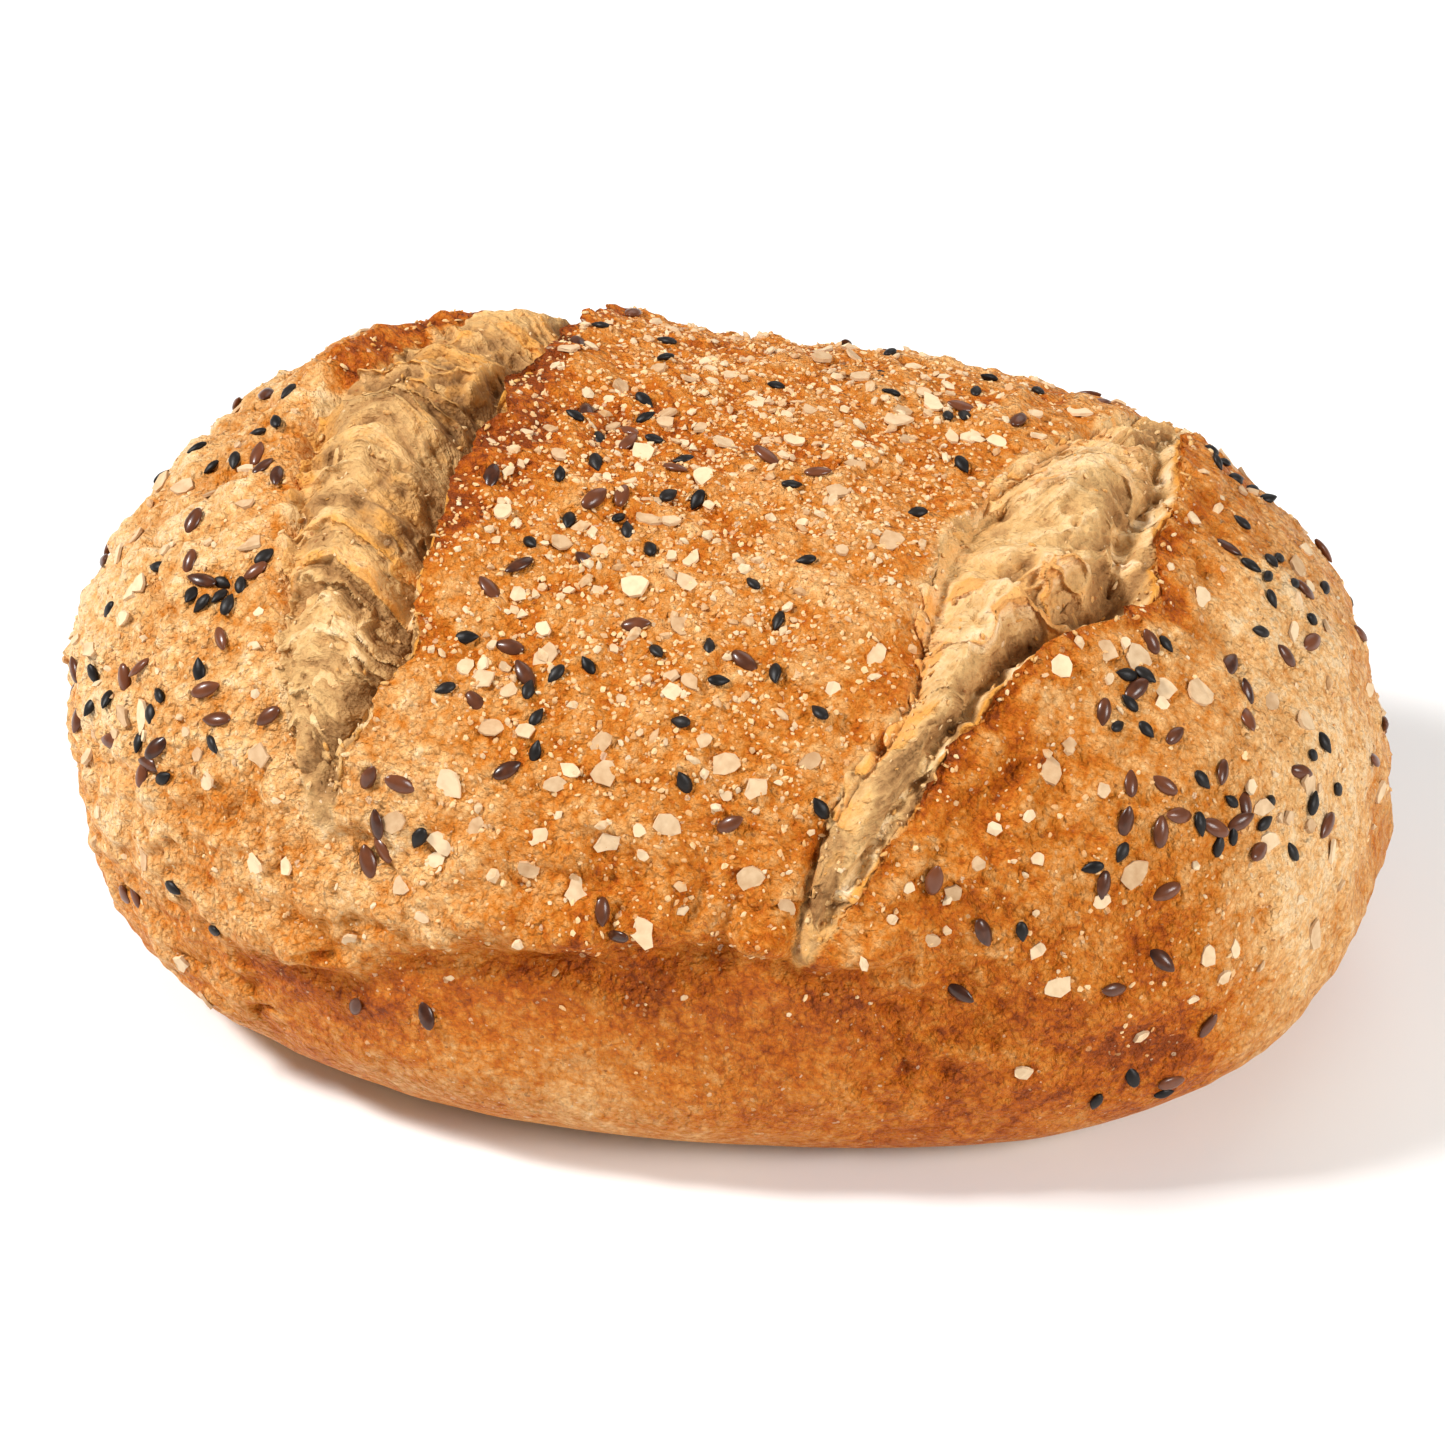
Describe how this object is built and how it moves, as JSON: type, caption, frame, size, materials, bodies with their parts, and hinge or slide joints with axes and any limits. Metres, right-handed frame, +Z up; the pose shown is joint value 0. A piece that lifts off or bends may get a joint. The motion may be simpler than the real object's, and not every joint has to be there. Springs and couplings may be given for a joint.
{
  "type": "multigrain sourdough loaf",
  "caption": "Oval hearth loaf with two torn diagonal slashes, a browned crust and baked-on seeds and cereal flakes, for bakery and kitchen scenes.",
  "frame": {"origin": "centre of the loaf's bounding box, on the flat base that it stands on", "axes": "+X along the loaf's length, towards the end with the right-hand slash; +Z up; the pictured long side faces -Y"},
  "size_m": [0.195, 0.138, 0.0878],
  "materials": {
    "crust": "baked sourdough crust, matte golden brown with darker edges",
    "crumb": "torn bread crumb, matte pale beige",
    "seeds": "black sesame and brown linseed, satin",
    "flakes": "cream cereal flakes and grit, matte"
  },
  "bodies": {
    "root": {"loaf": "crust"}
  },
  "joints": []
}
